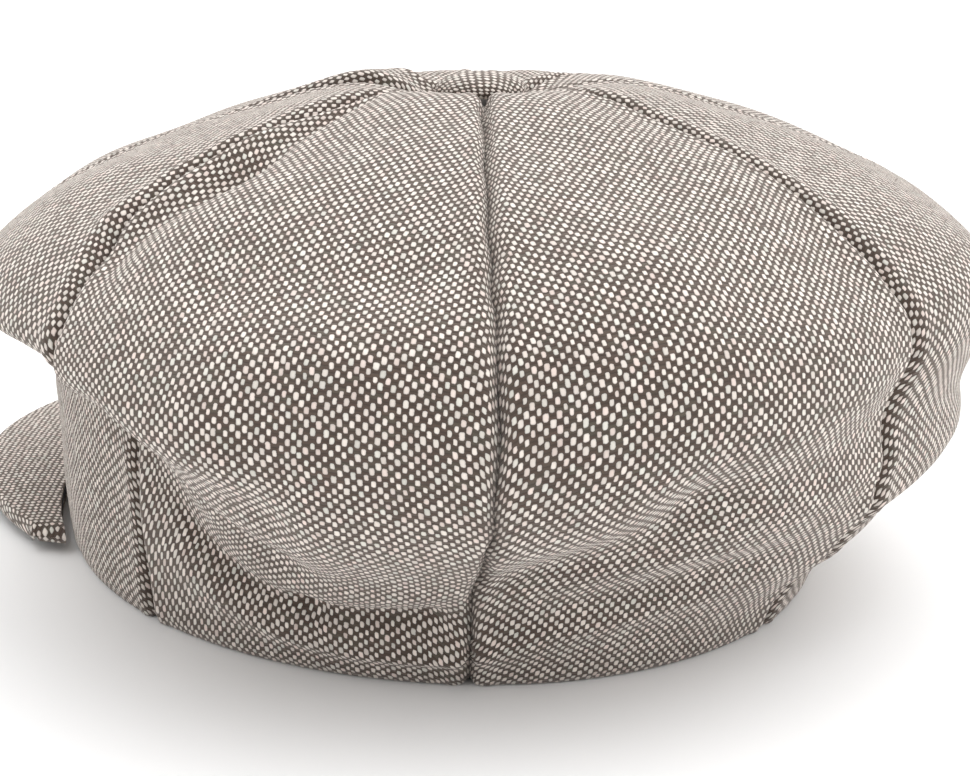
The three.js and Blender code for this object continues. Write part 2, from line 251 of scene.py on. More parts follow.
# Folds of the tweed: from (degrees, share down the meridian) to the same, half its width
# and its height in millimetres. A valley has a height below zero.
FOLDS = (
    ((20, 0.44), (37, 0.43), 9, -2.6),
    ((22, 0.50), (38, 0.48), 12, 1.2),
    ((-80, 0.15), (-48, 0.17), 12, 2.8),
    ((2, 0.43), (8, 0.34), 6, -2.6),
    ((8, 0.34), (5, 0.24), 6, -2.2),
    ((-1, 0.40), (0, 0.31), 6, 1.5),
    ((8, 0.600), (24, 0.615), 7, -3.2),
    ((10, 0.66), (22, 0.70), 10, -3.0),
    ((4, 0.57), (20, 0.56), 9, 2.0),
    ((3, 0.89), (42, 0.89), 8, 1.4),
    ((10, 0.83), (26, 0.80), 4, -1.6),
    ((26, 0.80), (40, 0.79), 4, -2.0),
    ((48, 0.72), (64, 0.64), 10, -3.2),
    ((64, 0.64), (88, 0.59), 10, -3.2),
    ((52, 0.50), (62, 0.48), 16, 1.2),
    ((70, 0.46), (84, 0.44), 12, -2.0),
    ((140, 0.46), (160, 0.55), 11, -2.2),
    ((165, 0.60), (178, 0.50), 10, 2.2),
    ((-170, 0.45), (-150, 0.52), 12, -2.0),
    ((-140, 0.58), (-120, 0.50), 11, 2.0),
    ((-112, 0.40), (-98, 0.50), 12, -1.8),
    ((-84, 0.52), (-70, 0.42), 12, -1.8),
    ((-60, 0.50), (-48, 0.55), 10, 2.0),
)
MERIDIAN_LENGTH = 216
RIPPLE_HEIGHT = 0.7


def fold_height(angle, t):
    """Height of the folds and of the gentle ripples between them."""
    total = RIPPLE_HEIGHT * ripples(angle, t, 3) * smooth(0.15, 0.3, t) * (1 - smooth(0.85, 1.0, t))
    for (angle_a, t_a), (angle_b, t_b), half_width, height in FOLDS:
        x = np.radians(turn_between(angle, angle_a)) * CROWN_RADIUS
        y = (t - t_a) * MERIDIAN_LENGTH
        run_x = math.radians(angle_b - angle_a) * CROWN_RADIUS
        run_y = (t_b - t_a) * MERIDIAN_LENGTH
        along = np.clip((x * run_x + y * run_y) / (run_x ** 2 + run_y ** 2), 0, 1)
        distance = np.hypot(x - along * run_x, y - along * run_y)
        total = total + height * bell(distance / half_width)
    return total


def outward(angle, t, shape):
    """Unit normals, out of the cap, of a surface given by angle and t."""
    step = 0.002
    across = shape(angle + step, t) - shape(angle - step, t)
    along = shape(angle, np.minimum(t + step, 1)) - shape(angle, np.maximum(t - step, 0))
    normal = np.cross(along, across)
    return normal / np.maximum(np.linalg.norm(normal, axis=-1, keepdims=True), 1e-9)


def crown(angle, t):
    """The worn crown, folds and all."""
    angle, t = np.broadcast_arrays(np.asarray(angle, float), np.asarray(t, float))
    return crown_base(angle, t) + outward(angle, t, crown_base) * fold_height(angle, t)[..., None]


# ------------------------------------------------------------------ sheets of cloth
EASE = 0.45                      # share of the seams' extra length that is eased in


def cloth_coordinates(grid):
    """Where each point of a gore lies on its flat cut: across and along, from its middle line."""
    rows, columns = grid.shape[:2]
    middle = columns // 2
    steps = np.linalg.norm(np.diff(grid, axis=1), axis=-1)
    across = np.concatenate([np.zeros((rows, 1)), np.cumsum(steps, axis=1)], axis=1)
    across = across - across[:, middle:middle + 1]
    length = np.linalg.norm(np.diff(grid, axis=0), axis=-1)
    spread = np.diff(across, axis=0)
    rise = np.sqrt(np.maximum(length ** 2 - spread ** 2, 0.3 * length ** 2))
    along = np.concatenate([np.zeros((1, columns)), np.cumsum(rise, axis=0)], axis=0)
    return across, along


def eased(flat, t):
    """The same, with the seams eased in below the top, so that the weft runs level there."""
    across, along = flat
    middle = along[:, along.shape[1] // 2][:, None]
    keep = 1 - EASE * smooth(0.28, 0.55, t)
    return across, middle + (along - middle) * keep


def new_object(name, mesh):
    made = bpy.data.objects.new(name, mesh)
    bpy.context.scene.collection.objects.link(made)
    return made


def sheet_object(name, front, back, flat, material, offset=(0.0, 0.0), closed=False):
    """A closed shell between two grids of points in millimetres.

    The coordinates of the flat cut are its UVs. With closed, the last column lies on the first.
    """
    rows, columns = front.shape[:2]
    stride = columns - 1 if closed else columns
    layer = rows * stride
    points = np.concatenate([
        front[:, :stride].reshape(-1, 3), back[:, :stride].reshape(-1, 3),
    ]) * MM
    points[:, 1] += AXIS_Y * MM
    corner = np.arange(rows)[:, None] * stride + np.arange(columns)[None] % stride
    cut_corner = np.arange(rows * columns).reshape(rows, columns)

    def quads(grid, shift):
        a, b = grid[:-1, :-1], grid[:-1, 1:]
        c, d = grid[1:, 1:], grid[1:, :-1]
        face = np.stack([a, b, c, d], -1).reshape(-1, 4)
        return face[:, ::-1], face + shift

    def edges(grid, shift):
        if closed:
            lines = [grid[0], grid[-1, ::-1]]
        else:
            around = np.concatenate([
                grid[0, :], grid[1:, -1], grid[-1, -2::-1], grid[-2:0:-1, 0], grid[0, :1],
            ])
            lines = [around]
        return [
            np.stack([line[:-1], line[1:], line[1:] + shift, line[:-1] + shift], -1)
            for line in lines
        ]

    faces = np.concatenate([*quads(corner, layer), *edges(corner, layer)])
    cut_layer = rows * columns
    cut_faces = np.concatenate([*quads(cut_corner, cut_layer), *edges(cut_corner, cut_layer)])
    across, along = flat
    cut = np.stack([across.ravel() + offset[0], along.ravel() + offset[1]], -1) * MM
    uv = np.concatenate([cut, cut])[cut_faces.ravel()]
    mesh = bpy.data.meshes.new(name)
    mesh.from_pydata(points.tolist(), [], faces.tolist())
    mesh.uv_layers.new(name="cut").data.foreach_set("uv", uv.astype(np.float32).ravel())
    mesh.polygons.foreach_set("use_smooth", np.ones(len(faces), bool))
    mesh.materials.append(material)
    made = new_object(name, mesh)
    face_outward(made)
    return made


def face_outward(piece):
    """Turn every face outwards if the closed piece is inside out."""
    work = bmesh.new()
    work.from_mesh(piece.data)
    if work.calc_volume(signed=True) < 0:
        bmesh.ops.reverse_faces(work, faces=work.faces)
    work.to_mesh(piece.data)
    work.free()


def finish_piece(piece, body, slot, *nodes):
    """The piece rides a body and stands for the named nodes; slot is not used."""
    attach(piece, body)
    if nodes:
        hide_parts(*nodes)
    return piece


# ------------------------------------------------------------------ node helpers
class Shader:
    """A short way to write a node material."""

    def __init__(self, name):
        self.material = bpy.data.materials.new(name)
        self.material.use_nodes = True
        self.tree = self.material.node_tree
        self.tree.nodes.clear()
        self.output = self.tree.nodes.new("ShaderNodeOutputMaterial")
        self.surface = self.tree.nodes.new("ShaderNodeBsdfPrincipled")
        self.tree.links.new(self.surface.outputs[0], self.output.inputs[0])

    def put(self, socket, value):
        if isinstance(value, bpy.types.NodeSocket):
            self.tree.links.new(value, socket)
        elif value is not None:
            socket.default_value = value

    def set(self, **values):
        for name, value in values.items():
            self.put(self.surface.inputs[name.replace("_", " ")], value)

    def math(self, operation, a, b=None, c=None):
        node = self.tree.nodes.new("ShaderNodeMath")
        node.operation = operation
        for socket, value in zip(node.inputs, (a, b, c)):
            self.put(socket, value)
        return node.outputs[0]

    def clamped(self, value, low=0.0, high=1.0):
        return self.math("MINIMUM", self.math("MAXIMUM", value, low), high)

    def ramp(self, value, low, high):
        """0 below low, 1 above high, and smooth between them."""
        node = self.tree.nodes.new("ShaderNodeMapRange")
        node.interpolation_type = "SMOOTHSTEP"
        self.put(node.inputs["Value"], value)
        self.put(node.inputs["From Min"], low)
        self.put(node.inputs["From Max"], high)
        return node.outputs[0]

    def vector(self, x, y, z=0.0):
        node = self.tree.nodes.new("ShaderNodeCombineXYZ")
        for socket, value in zip(node.inputs, (x, y, z)):
            self.put(socket, value)
        return node.outputs[0]

    def uv(self):
        node = self.tree.nodes.new("ShaderNodeUVMap")
        node.uv_map = "cut"
        split = self.tree.nodes.new("ShaderNodeSeparateXYZ")
        self.tree.links.new(node.outputs[0], split.inputs[0])
        return node.outputs[0], split.outputs[0], split.outputs[1]

    def object_place(self):
        return self.tree.nodes.new("ShaderNodeTexCoord").outputs["Object"]

    def noise(self, vector, scale, detail=2.0, roughness=0.5):
        node = self.tree.nodes.new("ShaderNodeTexNoise")
        self.put(node.inputs["Vector"], vector)
        node.inputs["Scale"].default_value = scale
        node.inputs["Detail"].default_value = detail
        node.inputs["Roughness"].default_value = roughness
        return node.outputs[0]

    def random(self, x, y, salt):
        """One even random number, and three more, for each pair of whole numbers."""
        node = self.tree.nodes.new("ShaderNodeTexWhiteNoise")
        node.noise_dimensions = "3D"
        self.put(node.inputs["Vector"], self.vector(x, y, salt))
        split = self.tree.nodes.new("ShaderNodeSeparateColor")
        self.tree.links.new(node.outputs["Color"], split.inputs[0])
        return node.outputs["Value"], split.outputs[0], split.outputs[1], split.outputs[2]

    def mix(self, share, a, b, blend="MIX"):
        node = self.tree.nodes.new("ShaderNodeMix")
        node.data_type = "RGBA"
        node.blend_type = blend
        self.put(node.inputs["Factor"], share)
        self.put(node.inputs[6], a)
        self.put(node.inputs[7], b)
        return node.outputs[2]

    def bump(self, height, distance, strength=1.0):
        node = self.tree.nodes.new("ShaderNodeBump")
        node.inputs["Strength"].default_value = strength
        node.inputs["Distance"].default_value = distance
        self.put(node.inputs["Height"], height)
        self.put(self.surface.inputs["Normal"], node.outputs[0])


def colour(red, green, blue):
    return (red, green, blue, 1.0)


# ------------------------------------------------------------------ materials
CREAM = colour(0.71, 0.645, 0.59)
CREAM_COOL = colour(0.64, 0.62, 0.565)
CREAM_PINK = colour(0.70, 0.59, 0.54)
BROWN = colour(0.082, 0.055, 0.042)
BROWN_RED = colour(0.130, 0.054, 0.044)
BROWN_GREEN = colour(0.094, 0.078, 0.058)
BROWN_DARK = colour(0.040, 0.028, 0.023)
SATIN_THREAD = 0.35 * MM         # distance between threads
LABEL_RIB = 0.5 * MM


def tweed_material(name):
    """Plain weave: oval cream warp floats over flat brown weft floats, each yarn uneven."""
    s = Shader(name)
    place, across, along = s.uv()
    sway = s.noise(place, 140.0, 2.0)
    column_place = s.math("ADD", s.math("DIVIDE", across, WARP_PITCH),
                          s.math("MULTIPLY", s.math("SUBTRACT", sway, 0.5), YARN_WANDER))
    lift = s.noise(s.vector(across, along, 3.0), 130.0, 2.0)
    row_place = s.math("ADD", s.math("DIVIDE", along, WEFT_PITCH),
                       s.math("MULTIPLY", s.math("SUBTRACT", lift, 0.5), YARN_WANDER))
    column = s.math("FLOOR", column_place)
    x = s.math("SUBTRACT", s.math("SUBTRACT", column_place, column), 0.5)

    pair_place = s.math("DIVIDE", s.math("ADD", row_place, column), 2.0)
    pair = s.math("FLOOR", pair_place)
    warp_y = s.math("MULTIPLY", s.math("SUBTRACT", s.math("SUBTRACT", pair_place, pair), 0.5), 2.0)
    r1, r2, r3, r4 = s.random(column, pair, 0.0)
    r5, r6, r7, _ = s.random(column, pair, 7.0)

    row = s.math("FLOOR", row_place)
    weft_y = s.math("SUBTRACT", s.math("SUBTRACT", row_place, row), 0.5)
    w1, w2, w3, _ = s.random(s.math("FLOOR", s.math("DIVIDE", column, 2.0)), row, 13.0)

    shift_x = s.math("MULTIPLY", s.math("SUBTRACT", r5, 0.5), FLOAT_SHIFT[0])
    shift_y = s.math("MULTIPLY", s.math("SUBTRACT", r6, 0.5), FLOAT_SHIFT[1])
    half_x = s.math("ADD", FLOAT_HALF_WIDTH[0], s.math("MULTIPLY", r1, FLOAT_HALF_WIDTH[1]))
    half_y = s.math("ADD", FLOAT_HALF_LENGTH[0], s.math("MULTIPLY", r2, FLOAT_HALF_LENGTH[1]))
    dx = s.math("ABSOLUTE", s.math("DIVIDE", s.math("SUBTRACT", x, shift_x), half_x))
    dy = s.math("ABSOLUTE", s.math("DIVIDE", s.math("SUBTRACT", warp_y, shift_y), half_y))
    oval = s.math("ADD", s.math("POWER", dx, 2.8), s.math("POWER", dy, 3.6))
    fuzz = s.math("MULTIPLY", s.math("SUBTRACT", s.noise(place, 1900.0, 3.0, 0.65), 0.5), 2.2)
    edge = s.math("ADD", oval, fuzz)
    warp = s.math("SUBTRACT", 1.0, s.ramp(edge, 0.60, 1.45))

    dome = s.math("SQRT", s.clamped(s.math("SUBTRACT", 1.0, s.math("MULTIPLY", oval, 0.8))))
    weft_round = s.math("SQRT", s.clamped(
        s.math("SUBTRACT", 1.0, s.math("POWER", s.math("MULTIPLY", weft_y, 1.9), 2.0))))
    float_shadow_falloff = s.ramp(oval, 0.8, 2.4)
    twist = s.math("SINE", s.math("ADD", s.math("MULTIPLY", row_place, 22.0),
                                  s.math("MULTIPLY", column_place, 6.0)))

    cream = s.mix(s.ramp(r3, 0.55, 1.0), CREAM, CREAM_COOL)
    cream = s.mix(s.ramp(r4, 0.62, 1.0), cream, CREAM_PINK)
    # Painted shade: each rounded cream float is darker toward its edges, after its dome. The rest is
    # random tone of the yarn.
    cream_tone_and_shade = s.math("ADD", 0.86, s.math("MULTIPLY", r7, 0.28))
    cream_tone_and_shade = s.math("MULTIPLY", cream_tone_and_shade, s.math("ADD", 0.70, s.math("MULTIPLY", dome, 0.34)))
    cream = s.mix(1.0, cream, s.vector(cream_tone_and_shade, cream_tone_and_shade, cream_tone_and_shade), "MULTIPLY")

    drift = s.noise(s.vector(s.math("MULTIPLY", across, 0.15), along, 9.0), 420.0, 1.0)
    brown = s.mix(s.ramp(s.math("ADD", w1, s.math("MULTIPLY", drift, 0.6)), 0.95, 1.35),
                  BROWN, BROWN_RED)
    brown = s.mix(s.ramp(w2, 0.55, 1.0), brown, BROWN_GREEN)
    brown = s.mix(s.math("MULTIPLY", w3, 0.35), brown, BROWN_DARK)
    # Painted shade on the brown weft: depth darkens it in the gaps between rows and round each warp
    # float, where shade falls between the yarns.
    depth = s.math("MULTIPLY", s.math("ADD", 0.35, s.math("MULTIPLY", weft_round, 0.75)),
                   s.math("ADD", 0.55, s.math("MULTIPLY", float_shadow_falloff, 0.45)))
    depth = s.math("MULTIPLY", depth, s.math("ADD", 0.94, s.math("MULTIPLY", twist, 0.10)))
    brown = s.mix(1.0, brown, s.vector(depth, depth, depth), "MULTIPLY")

    s.set(Base_Color=s.mix(warp, brown, cream), Roughness=0.92, Sheen_Weight=0.35,
          Sheen_Roughness=0.6, Specular_IOR_Level=0.2)
    s.surface.inputs["Sheen Tint"].default_value = colour(0.95, 0.88, 0.82)
    warp_height = s.math("MULTIPLY", warp, s.math("ADD", 0.35, s.math("MULTIPLY", dome, 0.65)))
    weft_height = s.math("MULTIPLY", s.math("SUBTRACT", 1.0, warp),
                         s.math("MULTIPLY", weft_round, 0.45))
    height = s.math("ADD", warp_height, weft_height)
    height = s.math("ADD", height, s.math("MULTIPLY", s.noise(place, 3800.0, 2.0), 0.16))
    s.bump(height, 0.30 * MM, 0.9)
    return s.material


def satin_material(name):
    s = Shader(name)
    place, across, along = s.uv()
    thread = s.math("SINE", s.math("MULTIPLY", across, 2 * math.pi / SATIN_THREAD))
    cloud = s.noise(place, 60.0, 3.0)
    tone = s.ramp(cloud, 0.3, 0.75)
    s.set(Base_Color=s.mix(tone, colour(0.020, 0.018, 0.020), colour(0.042, 0.038, 0.041)),
          Roughness=s.math("ADD", 0.34, s.math("MULTIPLY", cloud, 0.14)),
          Anisotropic=0.5, Sheen_Weight=0.15)
    slub = s.noise(s.vector(s.math("MULTIPLY", across, 0.1), along, 0.0), 1500.0, 2.0)
    s.bump(s.math("ADD", s.math("MULTIPLY", thread, 0.4), slub), 0.04 * MM, 0.5)
    return s.material


def buckram_material(name):
    s = Shader(name)
    place = s.object_place()
    weave = s.noise(place, 1800.0, 1.0)
    s.set(Base_Color=s.mix(weave, colour(0.62, 0.59, 0.51), colour(0.82, 0.79, 0.71)), Roughness=0.9)
    s.bump(weave, 0.15 * MM)
    return s.material


def label_material(name):
    s = Shader(name)
    place, _, along = s.uv()
    rib = s.math("SINE", s.math("MULTIPLY", along, 2 * math.pi / LABEL_RIB))
    tone = s.noise(place, 900.0, 2.0)
    s.set(Base_Color=s.mix(tone, colour(0.58, 0.55, 0.48), colour(0.76, 0.73, 0.66)), Roughness=0.6)
    s.bump(s.math("ADD", rib, tone), 0.05 * MM, 0.6)
    return s.material


def metal_material(name):
    s = Shader(name)
    brushed = s.noise(s.object_place(), 1400.0, 3.0)
    s.set(Base_Color=s.mix(brushed, colour(0.52, 0.52, 0.54), colour(0.74, 0.74, 0.76)),
          Metallic=1.0, Roughness=s.math("ADD", 0.25, s.math("MULTIPLY", brushed, 0.25)))
    s.bump(brushed, 0.02 * MM, 0.4)
    return s.material


def board_material(name):
    s = Shader(name)
    grain = s.noise(s.object_place(), 900.0, 4.0)
    s.set(Base_Color=s.mix(grain, colour(0.035, 0.035, 0.038), colour(0.070, 0.070, 0.075)),
          Roughness=0.65)
    s.bump(grain, 0.08 * MM, 0.6)
    return s.material


def thread_material(name, tone):
    s = Shader(name)
    strand = s.noise(s.object_place(), 2500.0, 2.0)
    darker = tuple(0.55 * v for v in tone[:3]) + (1.0,)
    s.set(Base_Color=s.mix(strand, darker, tone), Roughness=0.6, Sheen_Weight=0.3)
    s.bump(strand, 0.05 * MM)
    return s.material


TWEED = tweed_material("tweed")
SATIN = satin_material("satin")
BUCKRAM = buckram_material("buckram")
LABEL = label_material("label")
METAL = metal_material("button_metal")
BOARD = board_material("visor_board")
BLACK_THREAD = thread_material("black_thread", colour(0.03, 0.028, 0.03))
PALE_THREAD = thread_material("pale_thread", colour(0.70, 0.66, 0.58))

# ------------------------------------------------------------------ crown panels
PANEL_COLUMNS = 56
PANEL_ROWS = 170
SEAM_ROLL = (2.4, 0.9)           # depth and half width of the roll of cloth into a seam
SEAM_RIDGE = (0.5, 3.2, 1.5)     # height, place and half width of the ridge beside it
SEAM_EASE = 0.06                 # the stitches draw the two panels together this much
SEAM_WANDER = 0.35
CUT_STEP = (37.7, 21.3)          # each panel is cut from another part of the cloth


def panel_grids(index):
    """The outside and the inside of a panel, and t down its rows."""
    column = np.linspace(0, 1, PANEL_COLUMNS + 1)
    t = np.linspace(0, 1, PANEL_ROWS + 1)[:, None]
    angle = (index + column)[None, :] * SEAM_STEP
    front = crown(angle, t)
    normal = outward(angle + 0 * t, t + 0 * angle, crown_base)
    width = np.linalg.norm(np.diff(front, axis=1), axis=-1).sum(1)[:, None]
    from_edge = np.minimum(column, 1 - column)[None, :] * width
    roll_depth, roll_width = SEAM_ROLL
    ridge_height, ridge_place, ridge_width = SEAM_RIDGE
    roll = roll_depth * bell(from_edge / roll_width)
    roll = roll - ridge_height * bell((from_edge - ridge_place) / ridge_width)
    hem_roll = HEM_ROLL * smooth(0.985, 1.0, t)
    front = front - normal * (roll + hem_roll)[..., None]
    turned = (1 - smooth(HEM_HEIGHT, HEM_HEIGHT * 2, front[..., 2])) * (t > 0.5)
    depth = CLOTH + (HEM - CLOTH) * turned - np.maximum(0.4 * roll, 0) - hem_roll
    back = front - normal * depth[..., None]
    back[-1, :, 2] = np.maximum(back[-1, :, 2], 0)
    sideways = np.stack([-np.sin(angle), np.cos(angle), 0 * angle], -1)
    wander = SEAM_WANDER * ripples(angle + 0 * t, t, 8, 6, 12) * bell(from_edge / 4)
    gap = (0.5 - column)[None, :] * SEAM_EASE + wander
    return front + gap[..., None] * sideways, back + gap[..., None] * sideways, t


def make_panels():
    for index, name in enumerate(PANEL_NAMES):
        front, back, t = panel_grids(index)
        flat = eased(cloth_coordinates(front), t)
        offset = (index * CUT_STEP[0], index * CUT_STEP[1])
        piece = sheet_object(f"tweed_panel_{name}", front, back, flat, TWEED, offset)
        finish_piece(piece, "crown", "tweed", f"crown_panel_{name}")


# ------------------------------------------------------------------ lining, tape and sweatband
LINING_COLUMNS = 28
LINING_ROWS = 80


def make_lining():
    end = 1.0
    while through(MERIDIAN, end)[2] < LINING_END_Z:
        end -= 0.005
    for index, name in enumerate(PANEL_NAMES):
        column = np.linspace(0, 1, LINING_COLUMNS + 1)[None, :]
        angle = (index + column) * SEAM_STEP
        raised = np.maximum(0, -round_cap(SETTLED, angle))
        t = np.linspace(0, 1, LINING_ROWS + 1)[:, None] * (end + LINING_REACH * raised)

        def cut_closer(a, b):
            return crown_base(a, b, LINING_FOLLOWS)

        outside = cut_closer(angle, t)
        normal = outward(angle + 0 * t, t + 0 * angle, cut_closer)
        slack = LINING_SLACK * (1 + ripples(angle, t, 5, 12)) * bell((t / end - 0.55) * 2.4)
        seam = 0.8 * bell(np.minimum(column, 1 - column) / 0.03)
        dents = np.maximum(0, -fold_height(angle, t)) + 0.5 * MID_PUFF_SIDE * smooth(0.3, 0.5, t)
        depth = LINING_DEPTH + slack + dents - seam * smooth(0, 0.1, t)
        front = outside - normal * depth[..., None]
        back = front - normal * LINING_CLOTH
        flat = cloth_coordinates(front)
        piece = sheet_object(f"lining_{name}", front, back, flat, SATIN)
        finish_piece(piece, "crown", "satin", f"lining_gore_{name}")


RING_STEPS = 256
SWEATBAND_CLOTH = 1.1
SWEATBAND_FOLD = 0.35            # the fold at its bottom edge is this much thicker
SWEATBAND_EDGE = 0.5             # rounding of its edges
TAPE_DEPTHS = (2.25, 2.85)       # of the buckram's outer and inner face


def ring_piece(name, node, slot, material, profile, wave=0.0):
    """A band round the rim: profile is its front and back, each a list of (depth, height)."""
    angle = np.linspace(0, 2 * math.pi, RING_STEPS + 1)[None, :]
    layers = []
    for line in profile:
        depth, height = np.array(line, float).T
        swell = wave * ripples(angle, height[:, None] / 200, 11, 7) * smooth(3, 12, height)[:, None]
        layers.append(rim_point(angle, depth[:, None] + swell, height[:, None] + 0 * angle))
    front, back = layers
    flat = cloth_coordinates(front)
    piece = sheet_object(name, front, back, flat, material, closed=True)
    finish_piece(piece, "crown", slot, node)


def make_bands():
    low, high = BAND_BOTTOM, BAND_TOP
    near = SWEATBAND_DEPTH
    far = SWEATBAND_DEPTH + SWEATBAND_CLOTH
    rounded = SWEATBAND_DEPTH + SWEATBAND_EDGE
    heights = np.linspace(low + 1.2, high - 0.8, 16)
    front = [(rounded, low + 0.1), (near + 0.05, low + 0.5)]
    front += [(near, z) for z in heights]
    front += [(near + 0.1, high - 0.3), (rounded, high - 0.05)]
    back = [(rounded + 0.05, low), (far + SWEATBAND_FOLD, low + 0.5)]
    back += [(far + SWEATBAND_FOLD * bell((z - low - 1.5) / 1.5), z) for z in heights]
    back += [(far, high - 0.3), (rounded + 0.05, high)]
    ring_piece("sweatband_satin", "sweatband", "satin", SATIN, (front, back), 0.12)
    tape_low, tape_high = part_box("stiffening_tape")
    steps = np.linspace(tape_low.z / MM, tape_high.z / MM, 6)
    faces = tuple([(depth, z) for z in steps] for depth in TAPE_DEPTHS)
    ring_piece("buckram_tape", "stiffening_tape", "tape", BUCKRAM, faces)


def stitch_run(name, places, sideways, outwards, length, radius, material, slot):
    """A row of stitches, each a short rounded stroke of thread half sunk in the cloth."""
    work = bmesh.new()
    for place, side, out in zip(places, sideways, outwards):
        side, out = Vector(side).normalized(), Vector(out).normalized()
        up = out.cross(side)
        rings = []
        for k in range(5):
            share = k / 4
            swell = max(0.25, math.sin(math.pi * share)) * radius
            sunk = (1 - swell / radius) * radius
            middle = Vector(place) + side * (share - 0.5) * length - out * sunk
            rings.append([
                work.verts.new(middle + (out * math.cos(a) + up * math.sin(a)) * swell)
                for a in (n * math.pi / 3 for n in range(6))
            ])
        for first, second in zip(rings, rings[1:]):
            for n in range(6):
                work.faces.new((first[n], first[(n + 1) % 6], second[(n + 1) % 6], second[n]))
        work.faces.new(rings[0][::-1])
        work.faces.new(rings[-1])
    mesh = bpy.data.meshes.new(name)
    work.to_mesh(mesh)
    work.free()
    mesh.polygons.foreach_set("use_smooth", np.ones(len(mesh.polygons), bool))
    mesh.materials.append(material)
    made = new_object(name, mesh)
    face_outward(made)
    finish_piece(made, "crown", slot)


def in_frame(points):
    return (np.asarray(points) + np.array([0, AXIS_Y, 0])) * MM


BAND_STITCHES = 230              # in a row round the sweatband
BAND_STITCH = (2.1 * MM, 0.22 * MM)    # length and radius of the thread
LABEL_STITCH = (1.4 * MM, 0.18 * MM)


def band_stitches(name, height, depth):
    count = BAND_STITCHES
    angle = np.arange(count) * 2 * math.pi / count
    here = rim_point(angle, depth, height)
    ahead = rim_point(angle + 0.01, depth, height)
    inwards = rim_point(angle, depth + 1, height) - here
    stitch_run(name, in_frame(here), ahead - here, inwards, *BAND_STITCH, BLACK_THREAD, "satin")


LABEL_WIDTH = 22
LABEL_HEIGHT = 14
LABEL_DEPTH = SWEATBAND_DEPTH + SWEATBAND_CLOTH + SWEATBAND_FOLD
LABEL_CLOTH = 0.45
LABEL_SIDE_STITCHES = 6


def make_label():
    columns, rows = 24, 16
    middle = (BAND_BOTTOM + BAND_TOP) / 2
    half = LABEL_WIDTH / 2 / RIM_HALF_WIDTH
    column = np.linspace(-1, 1, columns + 1)[None, :]
    row = np.linspace(-0.5, 0.5, rows + 1)[:, None]
    angle = math.pi / 2 + column * half + 0 * row
    belly = 0.35 * (1 - column ** 4) * (1 + 0.5 * np.sin(row * 5))
    height = middle + row * LABEL_HEIGHT + 0 * column
    front = rim_point(angle, LABEL_DEPTH + belly, height)
    back = rim_point(angle, LABEL_DEPTH + belly + LABEL_CLOTH, height)
    flat = (column * LABEL_WIDTH / 2 + 0 * row, (row + 0.5) * LABEL_HEIGHT + 0 * column)
    piece = sheet_object("woven_label", front, back, flat, LABEL)
    finish_piece(piece, "crown", "label", "size_label")
    for side, name in ((-1, "label_stitches_right"), (1, "label_stitches_left")):
        count = LABEL_SIDE_STITCHES
        heights = middle + (np.arange(count) - (count - 1) / 2) * 2.2
        angles = np.full(count, math.pi / 2 + side * half * 0.93)
        here = rim_point(angles, LABEL_DEPTH + 0.62, heights)
        inwards = rim_point(angles, LABEL_DEPTH + 1.6, heights) - here
        upwards = np.tile((0, 0, 1), (count, 1))
        stitch_run(name, in_frame(here), upwards, inwards, *LABEL_STITCH, PALE_THREAD, "label")


# ------------------------------------------------------------------ top button
BUTTON_COLUMNS = 96
BUTTON_ROWS = 26
BUTTON_EDGE_ROWS = 3
BUTTON_EDGE = 1.0                # the cloth turns down this far at the edge
BUTTON_CLOTH = 1.0
BUTTON_PLEATS = 11
BUTTON_PLEAT = 0.22              # depth of a pleat
BUTTON_REACH = 1.25              # the cloth's reach from the middle, as shares of the radius


def make_button():
    """The cloth pulled over the button's shell, gathered a little at its edge."""
    angle = np.linspace(0, 2 * math.pi, BUTTON_COLUMNS + 1)[None, :]
    turn = np.linspace(0.02, math.pi / 2, BUTTON_ROWS)
    edge_rows = BUTTON_EDGE_ROWS + 1
    radius = np.concatenate([np.sin(turn), np.linspace(1, 0.90, edge_rows)[1:]])[:, None]
    height = np.concatenate([np.cos(turn), np.zeros(BUTTON_EDGE_ROWS)])[:, None]
    drop = np.concatenate([np.zeros(BUTTON_ROWS), np.linspace(0, 1, edge_rows)[1:]])[:, None]
    pleats = BUTTON_PLEAT * np.sin(angle * BUTTON_PLEATS + 0.6) * smooth(0.75, 1.0, radius)
    out = BUTTON_RADIUS * radius - 0.1 + pleats - BUTTON_PLEAT
    edge = BUTTON_EDGE
    z = BUTTON_BASE_Z + edge + (BUTTON_HEIGHT - edge) * height - edge * drop
    front = np.stack([out * np.cos(angle), out * np.sin(angle), z + 0 * angle], -1)
    inner = np.maximum(out - BUTTON_CLOTH * radius, 0.1)
    lower = np.maximum(z - BUTTON_CLOTH * height, BUTTON_BASE_Z + 0.02)
    back = np.stack([inner * np.cos(angle), inner * np.sin(angle), lower + 0 * angle], -1)
    turned_under = BUTTON_REACH + np.arange(1, edge_rows) * 0.03
    reach = BUTTON_RADIUS * np.concatenate([turn / (math.pi / 2) * BUTTON_REACH, turned_under])
    flat = (reach[:, None] * np.cos(angle), reach[:, None] * np.sin(angle))
    piece = sheet_object("tweed_button", front, back, flat, TWEED, (5.0, 9.0), closed=True)
    finish_piece(piece, "crown", "tweed", "button_cloth")


